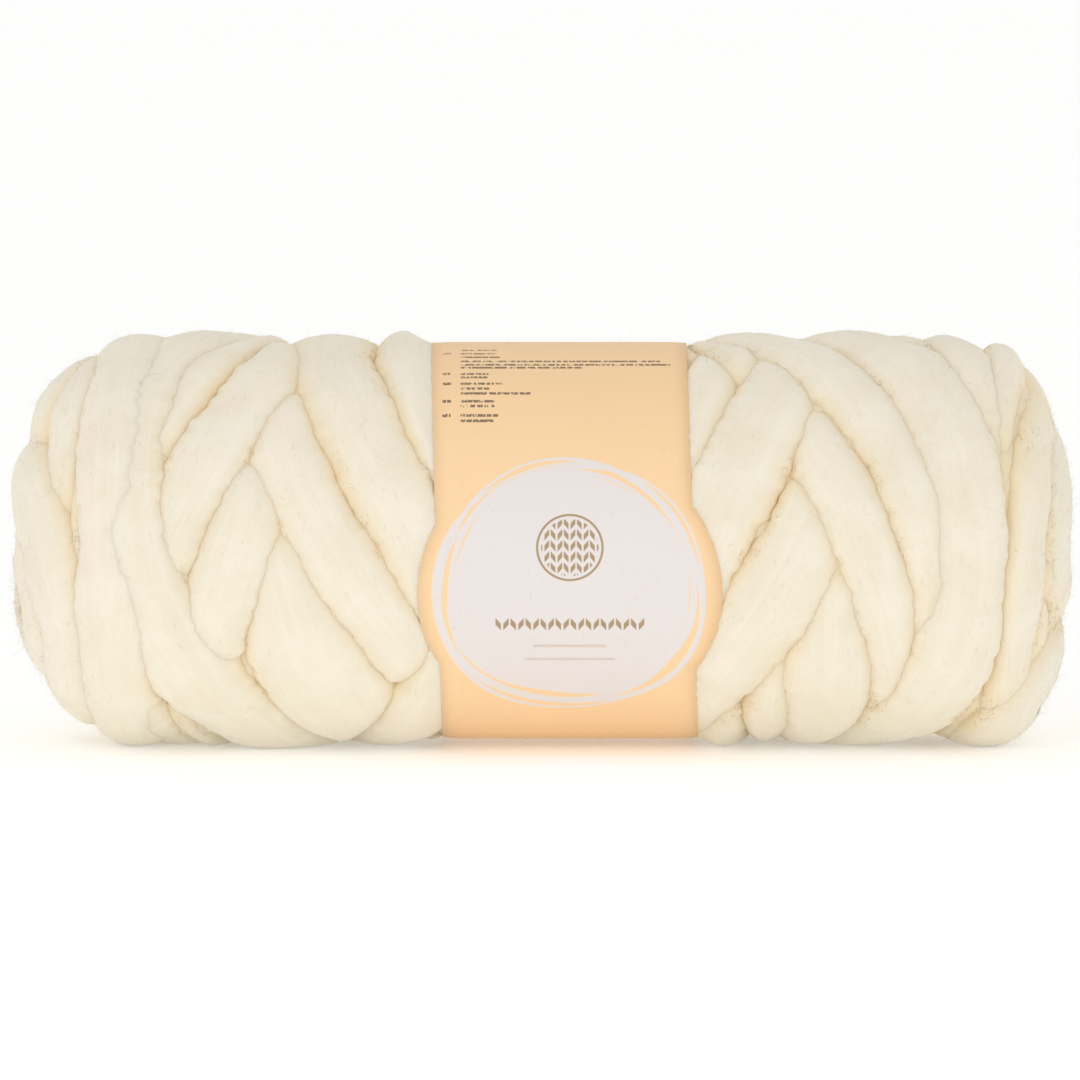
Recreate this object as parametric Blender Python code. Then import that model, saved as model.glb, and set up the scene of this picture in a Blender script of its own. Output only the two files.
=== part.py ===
"""A barrel-shaped skein of chunky wool roving, lying on its side, held by a paper band.

Run with: blender --background --python part.py

Metres, +Z up. X runs along the skein's axis, -Y is the front and the origin lies under the middle of
the skein, on the surface that it rests on. An angle round the axis is 0 at the front, 90 degrees at
the top, 180 at the back and -90 underneath.

The roving is wound in slanting turns. Each turn lies in a plane that cuts the barrel, and its height
is a rounded ridge along that cut. Turns with a higher level lie over turns with a lower one.
"""

import math
from typing import NamedTuple

import bpy
import numpy as np

MM = 0.001

# The barrel that the crowns of the turns follow
SKEIN_RADIUS = 73.5 * MM
SKEIN_HALF_LENGTH = 190.0 * MM
AXIS_HEIGHT = 72.0 * MM
LEFT_DOME_DEPTH = 50.0 * MM
LEFT_DOME_POWER = 2.1
RIGHT_DOME_DEPTH = 40.0 * MM
RIGHT_DOME_POWER = 2.5
DOME_SAMPLES = 400
END_HOLLOW_DEPTH = 9.0 * MM
END_HOLLOW_RADIUS = 13.0 * MM

# How a turn of roving rises from the barrel and sinks under the turns that cross it
ROVING_HEIGHT = 12.0 * MM
ROVING_ROUNDNESS = 2.2
SINK_UNDER_TURN = 7.5 * MM
MOST_TURNS_OVER = 1.25
COVER_FADE_FROM = 0.55
COVER_FADE_TO = 1.45
DEEPEST_GAP = -11.0 * MM
LEAST_SLANT = 0.35

# The paper band, and the wool pressed flat under it
BAND_THICKNESS = 1.0 * MM
BAND_INNER_RADIUS = 69.5 * MM
BAND_LEFT = -36.5 * MM
BAND_RIGHT = 54.0 * MM
BAND_LEAN = -2.0 * MM
EAR_RADIUS = 53.7 * MM
EAR_CENTRE_X = 10.5 * MM
EAR_CENTRE_ANGLE = math.radians(-10.0)
LAP_ANGLE = math.radians(200.0)
LAP_LENGTH = 14.0 * MM
LAP_STEP = 0.6 * MM
GAP = 0.3 * MM
PRESSED_MARGIN = 9.0 * MM
PRESSED_SLOPE = 0.35

# Fineness of the faceted solids: the wool that the band always hides needs few rings. The wool's
# height at each point is a weighted mean with its neighbours, which keeps creases soft
RINGS_ALONG = 72
STEPS_ROUND = 70
HIDDEN_LEFT = -22.0 * MM
HIDDEN_RIGHT = 38.0 * MM
HIDDEN_RING_EVERY = 4
BAND_STEPS = 96
CLEAR_OF_LAP = math.radians(1.0)
SOFTENING = (0.15, 0.7, 0.15)
WOOL_SHARP_ANGLE = math.radians(60.0)
BAND_SHARP_ANGLE = math.radians(40.0)


class Turn(NamedTuple):
    """Where a turn's middle crosses the top, the front and the underside (x, mm), and how it lies."""

    top: float
    front: float
    bottom: float
    width: float
    level: float
    lift: float


class Strap(NamedTuple):
    """A turn that crosses an end: the angle where it dips furthest down the barrel, its x there and
    the x that its plane has on the axis (mm), and how it lies."""

    clock: float
    low: float
    middle: float
    width: float
    level: float
    lift: float


TURNS = (
    # left of the band: top, front, bottom, width, level, lift
    Turn(-143.0, -154.5, -144.0, 31.0, 5.2, 0.0),
    Turn(-123.3, -144.5, -82.0, 31.0, 5.0, 1.0),
    Turn(-105.0, -146.0, -116.0, 25.5, 3.2, 0.0),
    Turn(-78.5, -134.5, -130.0, 25.5, 4.0, 0.5),
    Turn(-74.6, -109.0, -124.6, 28.0, 2.0, 1.5),
    Turn(-98.0, -92.0, -58.0, 44.0, 1.0, 1.0),
    Turn(-88.0, -69.5, 3.0, 29.5, 3.0, 0.0),
    Turn(-74.0, -38.0, 8.0, 30.0, 5.0, -0.5),
    Turn(-44.0, -15.0, 20.0, 28.0, 4.5, 0.5),
    Turn(38.0, -1.5, -55.5, 27.0, 5.5, 0.0),
    # right of the band
    Turn(68.0, 34.0, 8.0, 28.0, 3.0, -0.5),
    Turn(50.0, 52.0, 62.0, 25.0, 2.8, 0.5),
    Turn(84.0, 84.0, 82.0, 28.0, 1.0, -0.5),
    Turn(96.0, 104.0, 104.0, 38.0, 2.0, 0.5),
    Turn(122.0, 90.0, 35.0, 34.0, 4.0, 0.0),
    Turn(68.0, 117.5, 122.0, 26.5, 5.0, 0.0),
    Turn(97.0, 54.5, 34.5, 30.0, 6.0, 0.5),
    Turn(80.0, 143.0, 112.5, 28.0, 6.5, 0.0),
    Turn(112.5, 153.5, 106.5, 30.0, 7.0, 0.5),
    Turn(140.0, 148.0, 118.0, 32.0, 3.5, 0.0),
    Turn(172.0, 152.0, 150.0, 32.0, 2.4, 0.0),
    Turn(189.6, 175.5, 168.0, 31.0, 2.9, 0.0),
)

LEFT_STRAPS = (
    # clock, low, middle, width, level, lift
    Strap(-63.0, -165.5, -184.0, 36.0, 3.5, 0.0),
    Strap(82.0, -163.0, -187.5, 36.0, 2.5, -0.5),
    Strap(150.0, -156.0, -190.0, 32.0, 3.0, 0.0),
    Strap(-140.0, -160.0, -191.0, 32.0, 2.0, 0.0),
    Strap(20.0, -158.0, -183.0, 36.0, 1.0, 0.0),
    Strap(-63.0, -173.0, -191.5, 32.0, 3.3, 0.0),
)

RIGHT_STRAPS = (
    Strap(-90.0, 158.0, 218.0, 32.0, 3.4, 0.5),
    Strap(100.0, 170.0, 193.0, 32.0, 2.2, 0.0),
    Strap(170.0, 160.0, 193.0, 32.0, 3.2, 0.0),
    Strap(-150.0, 150.0, 186.0, 32.0, 1.5, 0.0),
    Strap(40.0, 162.0, 184.0, 36.0, 1.2, 0.0),
    Strap(-20.0, 182.7, 191.2, 22.0, 3.0, 0.0),
    Strap(-90.0, 165.0, 225.0, 28.0, 3.3, 0.0),
)

# Plain hoops of the layer below, which close the gaps between the turns and coil up the ends
UNDER_HOOP_PITCH = 21.0 * MM
UNDER_HOOP_WIDTH = 29.0 * MM
UNDER_HOOP_LIFT = -1.5 * MM
UNDER_HOOP_REACH = 172.0 * MM
END_HOOPS = (-189.0 * MM, -183.6 * MM, 184.8 * MM, 189.2 * MM)


def make_material(name, colour, roughness):
    """A plain Principled material, with its colour also set for the viewport."""
    material = bpy.data.materials.new(name)
    material.use_nodes = True
    shader = material.node_tree.nodes["Principled BSDF"]
    shader.inputs["Base Color"].default_value = (*colour, 1.0)
    shader.inputs["Roughness"].default_value = roughness
    shader.inputs["Metallic"].default_value = 0.0
    material.diffuse_color = (*colour, 1.0)
    return material


def wool_material():
    """Undyed cream wool, quite matt."""
    return make_material("cream_wool", (0.87, 0.82, 0.68), 0.95)


def paper_material():
    """Peach-coloured uncoated paper."""
    return make_material("peach_paper", (0.93, 0.65, 0.36), 0.6)


def add_object(name, vertices, faces, material, sharp_angle):
    """One closed mesh object, shaded smooth except along its sharp edges."""
    mesh = bpy.data.meshes.new(name)
    mesh.from_pydata([tuple(v) for v in vertices], [], faces)
    mesh.validate()
    mesh.shade_smooth()
    mesh.set_sharp_from_angle(angle=sharp_angle)
    mesh.materials.append(material)
    new_object = bpy.data.objects.new(name, mesh)
    bpy.context.scene.collection.objects.link(new_object)
    return new_object


def dome(depth, power):
    """Reach beyond the straight side and radius, from a dome's tip to its rim: a superellipse."""
    quarter = np.linspace(0.0, math.pi / 2, DOME_SAMPLES)
    return depth * np.cos(quarter) ** (2 / power), SKEIN_RADIUS * np.sin(quarter) ** (2 / power)


def meridian():
    """Points (x, radius) and outward normals along the barrel's outline, from the left tip to the
    right one: a straight side that closes in a dome at each end. The points are evenly spaced, but
    most of those that the band hides are left out."""
    left_reach, left_radius = dome(LEFT_DOME_DEPTH, LEFT_DOME_POWER)
    right_reach, right_radius = dome(RIGHT_DOME_DEPTH, RIGHT_DOME_POWER)
    left_rim = LEFT_DOME_DEPTH - SKEIN_HALF_LENGTH
    right_rim = SKEIN_HALF_LENGTH - RIGHT_DOME_DEPTH
    x = np.concatenate([left_rim - left_reach, (right_rim + right_reach)[::-1]])
    r = np.concatenate([left_radius, right_radius[::-1]])
    run = np.concatenate([[0.0], np.cumsum(np.hypot(np.diff(x), np.diff(r)))])
    even = np.linspace(0.0, run[-1], RINGS_ALONG + 2)[1:-1]
    even_x = np.interp(even, run, x)
    hidden = (even_x > HIDDEN_LEFT) & (even_x < HIDDEN_RIGHT)
    even = even[~hidden | (np.arange(RINGS_ALONG) % HIDDEN_RING_EVERY == 0)]
    between = 0.5 * (run[1:] + run[:-1])
    slope_x = np.interp(even, between, np.diff(x) / np.diff(run))
    slope_r = np.interp(even, between, np.diff(r) / np.diff(run))
    length = np.hypot(slope_x, slope_r)
    return np.interp(even, run, x), np.interp(even, run, r), -slope_r / length, slope_x / length


def turn_planes():
    """Each turn as a plane x = middle + (rise sin(angle) + push cos(angle)) radius / SKEIN_RADIUS, with
    its half width, level and lift, all in metres."""
    planes = []
    for turn in TURNS:
        middle = 0.5 * (turn.top + turn.bottom)
        rise = 0.5 * (turn.top - turn.bottom)
        planes.append((middle, rise, turn.front - middle, 0.5 * turn.width, turn.level, turn.lift))
    for strap in LEFT_STRAPS + RIGHT_STRAPS:
        dip = strap.low - strap.middle
        clock = math.radians(strap.clock)
        planes.append((strap.middle, dip * math.sin(clock), dip * math.cos(clock),
                       0.5 * strap.width, strap.level, strap.lift))
    table = [[value * MM for value in plane[:4]] + [plane[4], plane[5] * MM] for plane in planes]
    hoops = int(2 * UNDER_HOOP_REACH / UNDER_HOOP_PITCH)
    for x in (*np.linspace(-UNDER_HOOP_REACH, UNDER_HOOP_REACH, hoops + 1), *END_HOOPS):
        table.append([x, 0.0, 0.0, 0.5 * UNDER_HOOP_WIDTH, 0.0, UNDER_HOOP_LIFT])
    return table


def smooth_step(low, high, value):
    """0 below low, 1 above high, and a smooth S between them."""
    t = np.clip((value - low) / (high - low), 0.0, 1.0)
    return t * t * (3.0 - 2.0 * t)


def distance_to_turn(plane, points, normals):
    """Distance over the barrel's surface from each point to the middle of a turn: the height over its
    plane, divided by how fast that height grows along the surface."""
    middle, rise, push = plane[:3]
    gradient = np.array([1.0, push / SKEIN_RADIUS, -rise / SKEIN_RADIUS])
    height = points @ gradient - middle
    across = np.sqrt(np.maximum(gradient @ gradient - (normals @ gradient) ** 2, LEAST_SLANT ** 2))
    return height / across


def wound_height(points, normals):
    """Height of the wool over the barrel: the highest of all turns, each a rounded ridge that sinks
    where turns of a higher level cross it."""
    planes = turn_planes()
    ratios = [np.abs(distance_to_turn(plane, points, normals)) / plane[3] for plane in planes]
    covers = [1.0 - smooth_step(COVER_FADE_FROM, COVER_FADE_TO, ratio) for ratio in ratios]
    highest = np.full(len(points), DEEPEST_GAP)
    for plane, ratio in zip(planes, ratios):
        above = np.zeros(len(points))
        for other, cover in zip(planes, covers):
            if other[4] > plane[4]:
                above = above + cover
        inside = np.clip(ratio, 0.0, 1.0)
        ridge = (1.0 - inside ** ROVING_ROUNDNESS) ** (1.0 / ROVING_ROUNDNESS)
        crown = plane[5] - SINK_UNDER_TURN * np.minimum(above, MOST_TURNS_OVER)
        own = crown - ROVING_HEIGHT * (1.0 - ridge)
        highest = np.maximum(highest, np.where(ratio < 1.0, own, DEEPEST_GAP))
    return highest


def band_edges(angle):
    """The band's left and right edge (x) at each angle: a leaning straight strip, widened to a round
    ear on each side of the front."""
    left = BAND_LEFT + BAND_LEAN * np.sin(angle)
    right = BAND_RIGHT + BAND_LEAN * np.sin(angle)
    turned = np.remainder(angle - EAR_CENTRE_ANGLE + math.pi, 2 * math.pi) - math.pi
    away = BAND_INNER_RADIUS * turned
    ear = np.sqrt(np.maximum(EAR_RADIUS ** 2 - away ** 2, 0.0))
    return np.minimum(left, EAR_CENTRE_X - ear), np.maximum(right, EAR_CENTRE_X + ear)


def pressed_radius(x, angle):
    """The largest radius that the wool may have: just inside the band, and more with the distance
    from its edges."""
    left, right = band_edges(angle)
    outside = np.maximum(np.maximum(left - x, x - right) - PRESSED_MARGIN, 0.0)
    return BAND_INNER_RADIUS - GAP + PRESSED_SLOPE * outside


def softened(height):
    """A grid of heights, ring by ring, where each is averaged with its neighbours round the ring and
    then with those on the rings beside it."""
    before, here, after = SOFTENING
    height = (before * np.roll(height, 1, axis=1) + here * height
              + after * np.roll(height, -1, axis=1))
    inner = before * height[:-2] + here * height[1:-1] + after * height[2:]
    return np.concatenate([height[:1], inner, height[-1:]])


def wool_faces(height):
    """Two triangles for each cell of the grid of heights, split along the diagonal whose ends differ
    less in height, so that the split follows the creases."""
    rings, steps = height.shape
    index = np.arange(rings * steps).reshape(rings, steps)
    here, over = index[:-1], index[1:]
    here_after, over_after = np.roll(here, -1, axis=1), np.roll(over, -1, axis=1)
    level = height.ravel()
    straight = np.abs(level[here] - level[over_after]) < np.abs(level[over] - level[here_after])
    faces = []
    for keep, first, second in ((straight, (here, over, over_after), (here, over_after, here_after)),
                                (~straight, (here, over, here_after), (over, over_after, here_after))):
        for corners in (first, second):
            faces.append(np.stack([corner[keep] for corner in corners], axis=1))
    return np.concatenate(faces).tolist()


def make_wool():
    """The wound wool as one closed solid, pressed in under the band and flat where it rests."""
    x, r, normal_x, normal_r = meridian()
    angles = np.arange(STEPS_ROUND) * 2 * math.pi / STEPS_ROUND
    ring, angle = np.meshgrid(np.arange(len(x)), angles, indexing="ij")
    ring, angle = ring.ravel(), angle.ravel()
    sides = np.stack([-np.cos(angle), np.sin(angle)], axis=1)
    base = np.column_stack([x[ring], sides * r[ring, None]])
    normals = np.column_stack([normal_x[ring], sides * normal_r[ring, None]])
    height = softened(wound_height(base, normals).reshape(len(x), STEPS_ROUND))
    at_end = np.abs(base[:, 0]) > SKEIN_HALF_LENGTH - RIGHT_DOME_DEPTH
    hollow = END_HOLLOW_DEPTH * np.exp(-(r[ring] / END_HOLLOW_RADIUS) ** 2)
    points = base + normals * (height.ravel() - np.where(at_end, hollow, 0.0))[:, None]
    radius = np.hypot(points[:, 1], points[:, 2])
    squeeze = np.minimum(radius, pressed_radius(points[:, 0], angle)) / radius
    points[:, 1:] *= squeeze[:, None]
    points[:, 2] = np.maximum(points[:, 2] + AXIS_HEIGHT, 0.0)
    last = len(points) - STEPS_ROUND
    tips = [points[:STEPS_ROUND].mean(axis=0), points[last:].mean(axis=0)]
    vertices = np.vstack([points, tips])
    faces = wool_faces(height)
    left_tip, right_tip = len(points), len(points) + 1
    for step in range(STEPS_ROUND):
        after = (step + 1) % STEPS_ROUND
        faces.append((left_tip, step, after))
        faces.append((right_tip, last + after, last + step))
    return add_object("wool_skein", vertices, faces, wool_material(), WOOL_SHARP_ANGLE)


def band_angles():
    """Angles of the band's cross sections: even, with a pair close together at the lap's step."""
    even = np.arange(BAND_STEPS) * 2 * math.pi / BAND_STEPS - 0.5 * math.pi
    lap_end = LAP_ANGLE + LAP_LENGTH / BAND_INNER_RADIUS
    steps = [LAP_ANGLE, LAP_ANGLE + LAP_STEP / BAND_INNER_RADIUS, lap_end,
             lap_end + LAP_STEP / BAND_INNER_RADIUS]
    clear = [angle for angle in even if min(abs(angle - step) for step in steps) > CLEAR_OF_LAP]
    return np.array(sorted(clear + steps)), steps


def make_band():
    """The paper band as one closed strip round the wool, with an ear on each side of the front and a
    glued lap, one paper thicker, at the back."""
    angles, steps = band_angles()
    left, right = band_edges(angles)
    in_lap = (angles > 0.5 * (steps[0] + steps[1])) & (angles < 0.5 * (steps[2] + steps[3]))
    inner = np.full(len(angles), BAND_INNER_RADIUS)
    outer = inner + BAND_THICKNESS + np.where(in_lap, LAP_STEP, 0.0)
    corners = []
    for x, radius in ((left, outer), (right, outer), (right, inner), (left, inner)):
        y = -radius * np.cos(angles)
        z = radius * np.sin(angles) + AXIS_HEIGHT
        corners.append(np.column_stack([x, y, z]))
    vertices = np.stack(corners, axis=1).reshape(-1, 3)
    count = len(angles)
    faces = []
    for step in range(count):
        here, after = 4 * step, 4 * ((step + 1) % count)
        for side in range(4):
            following = (side + 1) % 4
            faces.append((here + side, here + following, after + following, after + side))
    return add_object("paper_band", vertices, faces, paper_material(), BAND_SHARP_ANGLE)


def main():
    for old in list(bpy.data.objects):
        bpy.data.objects.remove(old, do_unlink=True)
    make_wool()
    make_band()


main()
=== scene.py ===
"""A wound skein of chunky cream wool roving, held round the middle by a peach paper band.

The skein is a barrel that lies along X. Every turn of roving is a soft tube along the line where a
slanting plane cuts the barrel. Turns of a higher level lie over the others, which sink under them.
"""

import logging
import math
from collections.abc import Mapping, Sequence
from dataclasses import dataclass
from enum import Enum

import bpy
import numpy as np
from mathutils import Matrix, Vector


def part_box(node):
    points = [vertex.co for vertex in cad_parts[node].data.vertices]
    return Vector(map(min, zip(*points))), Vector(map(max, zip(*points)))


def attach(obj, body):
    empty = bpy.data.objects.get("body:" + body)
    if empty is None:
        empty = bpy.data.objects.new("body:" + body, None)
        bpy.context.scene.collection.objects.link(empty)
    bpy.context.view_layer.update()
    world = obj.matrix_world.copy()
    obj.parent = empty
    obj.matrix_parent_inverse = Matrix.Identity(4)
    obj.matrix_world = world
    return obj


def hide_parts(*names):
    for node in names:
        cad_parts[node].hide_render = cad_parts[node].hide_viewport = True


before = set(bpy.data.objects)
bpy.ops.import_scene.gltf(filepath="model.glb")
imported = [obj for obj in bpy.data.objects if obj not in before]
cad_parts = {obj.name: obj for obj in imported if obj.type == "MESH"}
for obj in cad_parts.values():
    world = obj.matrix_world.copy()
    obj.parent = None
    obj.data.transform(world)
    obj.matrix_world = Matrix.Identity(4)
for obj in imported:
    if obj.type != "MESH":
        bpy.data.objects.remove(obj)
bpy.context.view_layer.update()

MM = 0.001
FULL_TURN = 2 * math.pi
BODY = "root"
LOG = logging.getLogger("skein")

Array = np.ndarray
Socket = bpy.types.NodeSocket
Colour = tuple[float, float, float, float]

WHITE: Colour = (1.0, 1.0, 1.0, 1.0)


# Shader expressions


class Wire:
    """A number socket that takes part in Python expressions, each of which adds its Math node."""

    def __init__(self, bench: "Bench", socket: Socket) -> None:
        """Keeps the socket and the bench that adds nodes beside it."""
        self.bench = bench
        self.socket = socket

    def maths(self, operation: str, *others: "Wire | float") -> "Wire":
        """One Math node.

        Args:
            operation: the Math node's operation.
            others: what goes into its second socket, where it has one.

        Returns:
            The node's result.
        """
        inputs = dict(enumerate((self, *others)))
        return self.bench.wire(self.bench.add("ShaderNodeMath", {"operation": operation}, inputs), 0)

    def __add__(self, other: "Wire | float") -> "Wire":
        """Sum."""
        return self.maths("ADD", other)

    def __sub__(self, other: "Wire | float") -> "Wire":
        """Difference."""
        return self.maths("SUBTRACT", other)

    def __rsub__(self, other: float) -> "Wire":
        """A number less this socket."""
        node = self.bench.add("ShaderNodeMath", {"operation": "SUBTRACT"}, {0: other, 1: self})
        return self.bench.wire(node, 0)

    def __mul__(self, other: "Wire | float") -> "Wire":
        """Product."""
        return self.maths("MULTIPLY", other)

    __radd__ = __add__
    __rmul__ = __mul__

    def __abs__(self) -> "Wire":
        """Size without sign."""
        return self.maths("ABSOLUTE")

    def sine(self) -> "Wire":
        """Sine of an angle in radians."""
        return self.maths("SINE")

    def most(self, other: "Wire | float") -> "Wire":
        """The larger of the two."""
        return self.maths("MAXIMUM", other)

    def repeated(self, period: float) -> "Wire":
        """What is left over after whole periods, from 0 to the period."""
        return self.maths("FLOORED_MODULO", period)

    def step(self, low: float, high: float) -> "Wire":
        """A smooth step.

        Args:
            low: where it is still 0.
            high: where it has come to 1.

        Returns:
            0 at low and before, 1 at high and after, and a smooth S between them.
        """
        node = self.bench.add("ShaderNodeMapRange", {"interpolation_type": "SMOOTHSTEP", "clamp": True},
                              {"Value": self, "From Min": low, "From Max": high})
        return self.bench.wire(node, 0)

    def inside(self, edge: float, softness: float) -> "Wire":
        """1 where this is under edge and 0 over it, with an edge of that softness."""
        return 1.0 - self.step(edge - 0.5 * softness, edge + 0.5 * softness)


class Bench:
    """Adds nodes to one material."""

    def __init__(self, name: str) -> None:
        """Starts a material with a bare Principled shader.

        Args:
            name: the material's name.
        """
        self.material = bpy.data.materials.new(name)
        self.material.use_nodes = True
        self.tree = self.material.node_tree
        self.shader = self.tree.nodes["Principled BSDF"]

    def add(self, kind: str, settings: Mapping[str, object] | None = None,
            inputs: Mapping[str | int, object] | None = None) -> bpy.types.Node:
        """Adds a node of any kind.

        Args:
            kind: the node's type.
            settings: its properties, set first.
            inputs: a value, a Wire or a socket for each input named or numbered.

        Returns:
            The new node.
        """
        node = self.tree.nodes.new(kind)
        for key, value in (settings or {}).items():
            setattr(node, key, value)
        self.feed(node, inputs or {})
        return node

    def feed(self, node: bpy.types.Node, inputs: Mapping[str | int, object]) -> None:
        """Links or sets sockets of a node.

        Args:
            node: the node.
            inputs: a value, a Wire or a socket for each input named or numbered.
        """
        for key, value in inputs.items():
            if isinstance(value, Wire):
                self.tree.links.new(value.socket, node.inputs[key])
            elif isinstance(value, Socket):
                self.tree.links.new(value, node.inputs[key])
            else:
                node.inputs[key].default_value = value

    def wire(self, node: bpy.types.Node, output: str | int) -> Wire:
        """One output of a node as a Wire."""
        return Wire(self, node.outputs[output])

    def attribute(self, name: str) -> bpy.types.Node:
        """The node that reads a mesh attribute of that name."""
        return self.add("ShaderNodeAttribute", {"attribute_name": name})

    def noise(self, vector: Socket, scale: float, detail: float = 2.0,
              roughness: float = 0.5) -> Wire:
        """Noise from 0 to 1.

        Args:
            vector: where it is read.
            scale: features for each unit of the vector.
            detail: octaves.
            roughness: share that each octave keeps.

        Returns:
            The noise's value.
        """
        node = self.add("ShaderNodeTexNoise", {}, {"Vector": vector, "Scale": scale, "Detail": detail,
                                                   "Roughness": roughness})
        return self.wire(node, "Fac")

    def stretched(self, vector: Socket, scale: Sequence[float]) -> Socket:
        """A vector with each of its numbers multiplied by its own scale."""
        node = self.add("ShaderNodeVectorMath", {"operation": "MULTIPLY"}, {0: vector, 1: tuple(scale)})
        return node.outputs[0]

    def blend(self, factor: Wire, first: Colour | Socket, second: Colour | Socket) -> Socket:
        """A colour that goes from first to second as factor goes from 0 to 1.

        Args:
            factor: the share of the second colour.
            first: a colour or a colour socket.
            second: a colour or a colour socket.

        Returns:
            The mixed colour.
        """
        node = self.add("ShaderNodeMix", {"data_type": "RGBA"}, {"Factor": factor, 6: first, 7: second})
        return node.outputs[2]

    def bump(self, height: Wire, distance: float, strength: float,
             under: Socket | None = None) -> Socket:
        """A normal tilted by a height map.

        Args:
            height: the map, from 0 to 1.
            distance: height of a full step, in metres.
            strength: share of the tilt that is kept.
            under: a normal that is tilted further.

        Returns:
            The normal.
        """
        inputs = {"Strength": strength, "Distance": distance, "Height": height}
        if under:
            inputs["Normal"] = under
        return self.add("ShaderNodeBump", {}, inputs).outputs["Normal"]


# Finishes


def shade(red: float, green: float, blue: float) -> Colour:
    """Turns a colour as it looks on a screen into the linear one that shaders use.

    Args:
        red: from 0 to 255.
        green: from 0 to 255.
        blue: from 0 to 255.

    Returns:
        The linear colour, opaque.
    """
    screen = np.array([red, green, blue]) / 255.0
    linear = np.where(screen <= 0.04045, screen / 12.92, ((screen + 0.055) / 1.055) ** 2.4)
    return (*(float(value) for value in linear), 1.0)


@dataclass(frozen=True)
class WoolFinish:
    """Undyed merino roving: cream, matt and combed lengthwise, with a painted warm shade in its creases
    and painted dark specks of shade in its deepest pits. Locks, streaks and fibres have a scale along the
    strand and one across it, and bumps a height and a strength."""

    cream: Colour = shade(236, 227, 206)
    pale: Colour = shade(243, 236, 220)
    # Painted shade: the warm colour that the creases take with their depth
    crease: Colour = shade(243, 223, 186)
    # Painted shade: dark brown specks in the deepest pits
    pit: Colour = shade(186, 156, 104)
    locks: tuple[float, float] = (14.0, 210.0)
    streaks: tuple[float, float] = (20.0, 1100.0)
    fibres: tuple[float, float] = (60.0, 4200.0)
    waviness: float = 5.0 * MM
    wave_scale: float = 24.0
    lock_bump: tuple[float, float] = (0.8 * MM, 0.5)
    felt_bump: tuple[float, float] = (0.35 * MM, 0.45)
    fibre_bump: tuple[float, float] = (0.25 * MM, 0.4)
    felt_scale: float = 900.0
    speck_scale: float = 650.0
    cloud_scale: float = 55.0
    light_range: tuple[float, float] = (0.34, 0.68)
    crease_shade_range: tuple[float, float] = (0.03, 0.65)
    speck_range: tuple[float, float] = (0.44, 0.62)
    speck_strength: float = 0.7
    pit_shade_range: tuple[float, float] = (0.95, 1.2)
    roughness: float = 0.95
    sheen: float = 0.3
    sheen_roughness: float = 0.6
    scatter: float = 0.35
    scatter_radius: float = 5.0 * MM

    def material(self, name: str) -> bpy.types.Material:
        """Builds the wool. Locks, streaks and fibres are noise stretched along the roving, from the
        point's place on the strand, which a slow noise bends a little. The colour goes towards the
        crease colour with depth, as painted shade in the creases, and broken specks of the pit colour
        lie in the deepest places as painted shade.

        Args:
            name: the material's name.

        Returns:
            The material.
        """
        bench = Bench(name)
        run = bench.attribute("strand_run").outputs["Vector"]
        split = bench.add("ShaderNodeSeparateXYZ", {}, {0: run})
        bent = bench.wire(split, 2) + (bench.noise(run, self.wave_scale) - 0.5) * self.waviness
        run = bench.add("ShaderNodeCombineXYZ", {}, {0: split.outputs[0], 1: split.outputs[1],
                                                     2: bent}).outputs[0]
        lock, streak, fibre = (bench.noise(bench.stretched(run, (along, along, across)), 1.0, 3.0, 0.6)
                               for along, across in (self.locks, self.streaks, self.fibres))
        cloud = bench.noise(run, self.cloud_scale, 3.0)
        depth = bench.wire(bench.attribute("strand_depth"), "Fac")
        light = (lock * 0.25 + streak * 0.22 + fibre * 0.13 + cloud * 0.4).step(*self.light_range)
        colour = bench.blend(light, self.cream, self.pale)
        # Painted shade: the colour warms towards the crease colour as the depth grows
        painted_shade = depth.step(*self.crease_shade_range) * (0.75 + 0.25 * streak)
        colour = bench.blend(painted_shade, colour, self.crease)
        # Painted shade: broken dark specks where the wool lies deepest
        specks = bench.noise(run, self.speck_scale, 3.0, 0.7).step(*self.speck_range)
        specks = specks * depth.step(*self.pit_shade_range)
        colour = bench.blend(specks * self.speck_strength, colour, self.pit)
        felt = bench.noise(run, self.felt_scale, 4.0, 0.65)
        normal = bench.bump(lock, *self.lock_bump)
        normal = bench.bump(felt, *self.felt_bump, normal)
        normal = bench.bump(streak * 0.4 + fibre * 0.6, *self.fibre_bump, normal)
        bench.feed(bench.shader, {
            "Base Color": colour,
            "Normal": normal,
            "Roughness": self.roughness,
            "Specular IOR Level": 0.1,
            "Sheen Weight": self.sheen,
            "Sheen Roughness": self.sheen_roughness,
            "Sheen Tint": self.pale,
            "Subsurface Weight": self.scatter,
            "Subsurface Radius": (self.scatter_radius,) * 3,
            "Subsurface Scale": 1.0,
        })
        return bench.material


@dataclass(frozen=True)
class FibreFinish:
    """Single loose fibres of the same wool, each between two tones."""

    pale: Colour
    dark: Colour
    tone_scale: float = 120.0

    def material(self, name: str) -> bpy.types.Material:
        """Builds the fibre material.

        Args:
            name: the material's name.

        Returns:
            The material.
        """
        bench = Bench(name)
        place = bench.add("ShaderNodeTexCoord").outputs["Object"]
        tone = bench.noise(place, self.tone_scale, 1.0)
        bench.feed(bench.shader, {
            "Base Color": bench.blend(tone, self.pale, self.dark),
            "Roughness": 0.8,
            "Specular IOR Level": 0.2,
        })
        return bench.material


class Ink(Enum):
    """Printing inks of the band, as they look on a screen."""

    PEACH = (251, 215, 168)
    PEACH_SHADE = (247, 210, 163)
    DISC = (230, 223, 220)
    BROWN = (173, 149, 116)
    DARK = (78, 64, 58)
    PALE = (216, 204, 194)

    def colour(self) -> Colour:
        """The ink as the linear colour that shaders use."""
        return shade(*self.value)


# The barrel and its turns


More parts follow.
